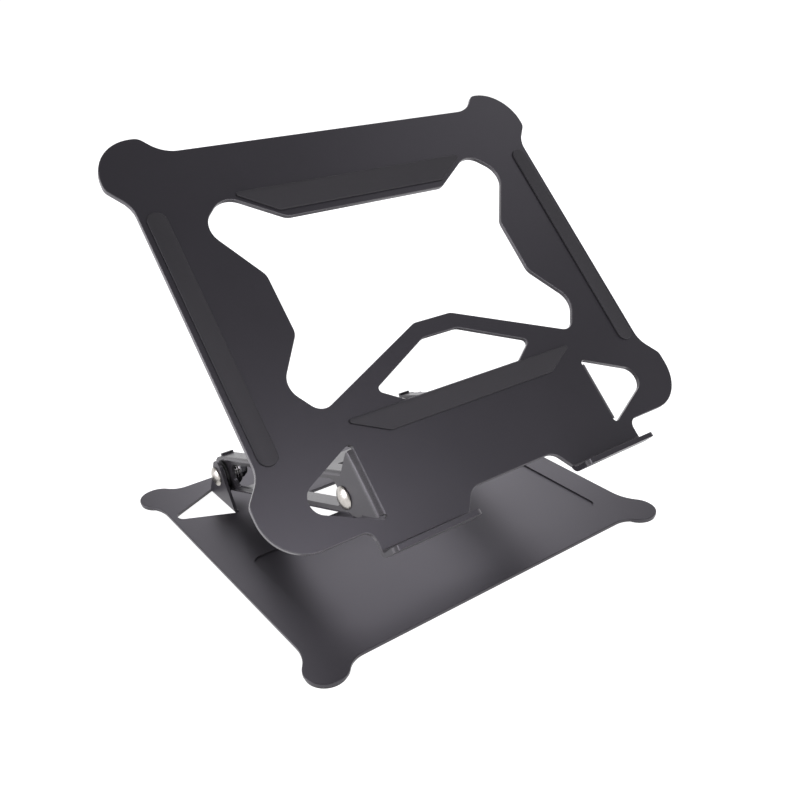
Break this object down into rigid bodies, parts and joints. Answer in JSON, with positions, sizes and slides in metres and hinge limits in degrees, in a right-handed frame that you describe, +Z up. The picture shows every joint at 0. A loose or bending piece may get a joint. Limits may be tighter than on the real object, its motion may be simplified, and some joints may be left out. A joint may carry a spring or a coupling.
{
  "type": "laptop stand",
  "caption": "Folding laptop stand: a tray plate with cut-out windows and front lips, carried over a flat base plate by an arm frame on friction hinges.",
  "frame": {"origin": "middle of the open stand's footprint, on the plane the feet rest on", "axes": "+X across the stand to the user's right, +Y from the front lips to the back, +Z up"},
  "size_m": [0.272, 0.241, 0.2336],
  "materials": {
    "base_coat": "satin",
    "arm_coat": "satin",
    "tray_coat": "satin",
    "silicone": "matte",
    "bright_steel": "polished",
    "plain_steel": "satin",
    "dark_steel": "satin",
    "nylon": "matte"
  },
  "bodies": {
    "base": {"base_plate": "base_coat", "foot_front_left": "silicone", "foot_front_right": "silicone", "foot_rear_left": "silicone", "foot_rear_right": "silicone", "lower_pivot_screw_left": "bright_steel", "lower_pivot_screw_right": "bright_steel", "lower_outer_friction_washer_left": "nylon", "lower_outer_friction_washer_right": "nylon", "lower_inner_friction_washer_left": "nylon", "lower_inner_friction_washer_right": "nylon", "lower_disc_springs_left": "dark_steel", "lower_disc_springs_right": "dark_steel", "lower_clamp_washer_left": "dark_steel", "lower_clamp_washer_right": "dark_steel", "lower_lock_nut_left": "dark_steel", "lower_lock_nut_right": "dark_steel", "lower_thrust_washer_left": "plain_steel", "lower_thrust_washer_right": "plain_steel"},
    "arm": {"arm_frame": "arm_coat"},
    "tray": {"tray_plate": "tray_coat", "tray_pad_top": "silicone", "tray_pad_bottom": "silicone", "tray_pad_left": "silicone", "tray_pad_right": "silicone", "upper_pivot_screw_left": "bright_steel", "upper_pivot_screw_right": "bright_steel", "upper_outer_friction_washer_left": "nylon", "upper_outer_friction_washer_right": "nylon", "upper_inner_friction_washer_left": "nylon", "upper_inner_friction_washer_right": "nylon", "upper_disc_springs_left": "dark_steel", "upper_disc_springs_right": "dark_steel", "upper_clamp_washer_left": "dark_steel", "upper_clamp_washer_right": "dark_steel", "upper_lock_nut_left": "dark_steel", "upper_lock_nut_right": "dark_steel"}
  },
  "joints": [
    {"name": "arm_hinge", "type": "hinge", "parent": "base", "child": "arm", "pos_m": [0, 0.08231, 0.0195], "axis": [-1, 0, 0], "range_deg": [-19.8, 18]},
    {"name": "tray_hinge", "type": "hinge", "parent": "arm", "child": "tray", "pos_m": [0, -0.06917, 0.07404], "axis": [1, 0, 0], "range_deg": [-64.4, 5]}
  ]
}
